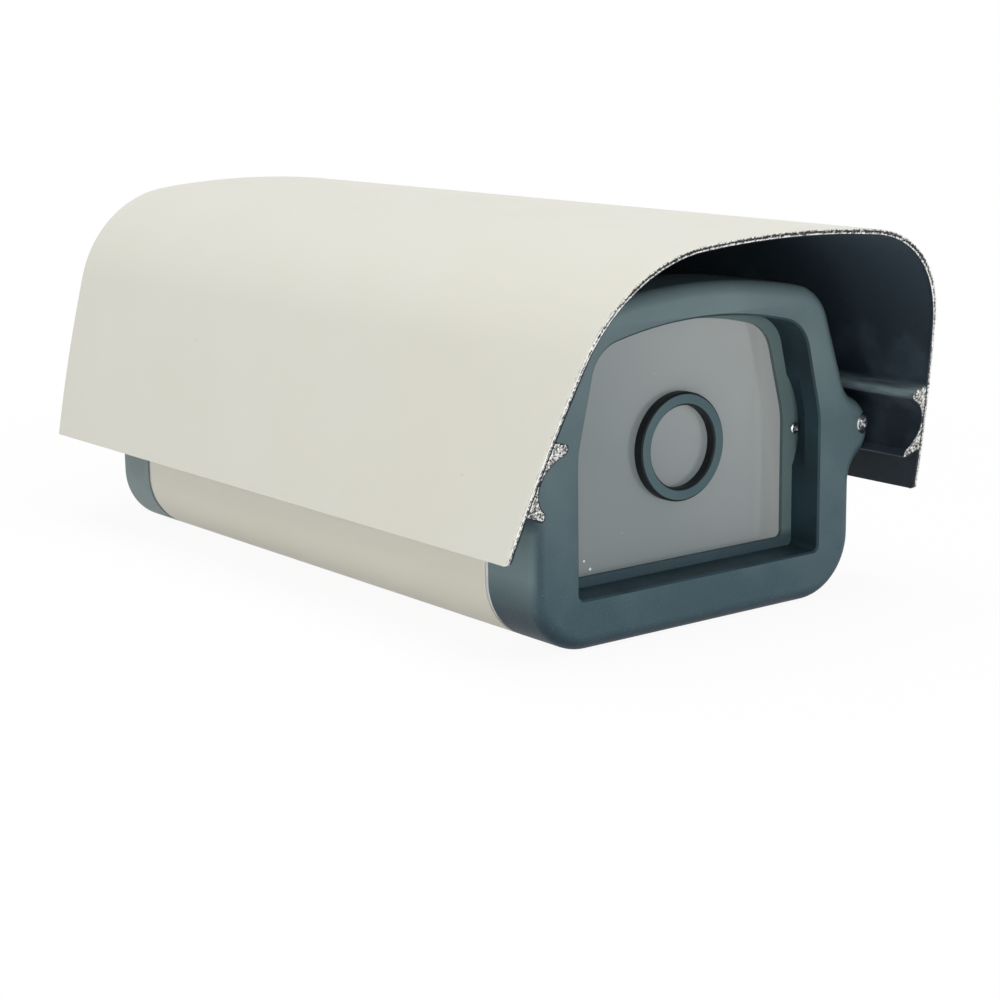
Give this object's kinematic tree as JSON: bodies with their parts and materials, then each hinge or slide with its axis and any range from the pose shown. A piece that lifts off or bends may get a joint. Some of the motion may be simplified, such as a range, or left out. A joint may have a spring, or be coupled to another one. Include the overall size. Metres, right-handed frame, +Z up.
{
  "type": "security camera housing",
  "caption": "Outdoor security camera housing: extruded body with window cap and rear cap, cable glands, inner camera tray and a long sliding sunshield that forms a raked hood.",
  "frame": {"origin": "centre of the four bracket holes, on the flat underside of the body", "axes": "+Y from the window to the rear cap, +Z up, +X to the right seen from the front of the window"},
  "size_m": [0.14, 0.2634, 0.1044],
  "materials": {
    "body_paint": "satin cream paint on extruded aluminium",
    "shield_paint": "satin cream paint outside, dark inside, bare at the sawn front edge",
    "cap_plastic": "fine matt moulded plastic, dark blue-grey",
    "gasket_rubber": "pale translucent silicone",
    "window_glass": "polished flat glass",
    "seal_rubber": "black rubber",
    "ring_plastic": "dark moulded plastic",
    "screw_steel": "bright zinc plated steel",
    "tray_steel": "zinc plated sheet steel",
    "seat_plastic": "black moulded plastic",
    "gland_plastic": "grey moulded nylon"
  },
  "bodies": {
    "housing": {"body_tube": "body_paint", "front_cap": "cap_plastic", "front_gasket": "gasket_rubber", "window_glass": "window_glass", "glass_seal": "seal_rubber", "glass_frame": "tray_steel", "lens_ring": "ring_plastic", "front_cap_screws": "screw_steel", "glass_screws": "screw_steel", "rear_cap": "cap_plastic", "rear_gasket": "gasket_rubber", "rear_cap_screws": "screw_steel", "camera_tray": "tray_steel", "tray_screws": "screw_steel", "left_gland_body": "gland_plastic", "left_gland_washer": "seal_rubber", "left_gland_seal": "seal_rubber", "left_gland_nut": "gland_plastic", "left_gland_locknut": "gland_plastic", "right_gland_body": "gland_plastic", "right_gland_washer": "seal_rubber", "right_gland_seal": "seal_rubber", "right_gland_nut": "gland_plastic", "right_gland_locknut": "gland_plastic"},
    "shield": {"sunshield": "shield_paint"},
    "seat": {"camera_block": "seat_plastic", "camera_pad": "seal_rubber", "camera_screw": "screw_steel"}
  },
  "joints": [
    {"name": "shield_slide", "type": "slide", "parent": "housing", "child": "shield", "axis": [0, 1, 0], "range_m": [-0.04, 0.025]},
    {"name": "seat_slide", "type": "slide", "parent": "housing", "child": "seat", "axis": [0, 1, 0], "range_m": [-0.04, 0.04]}
  ]
}
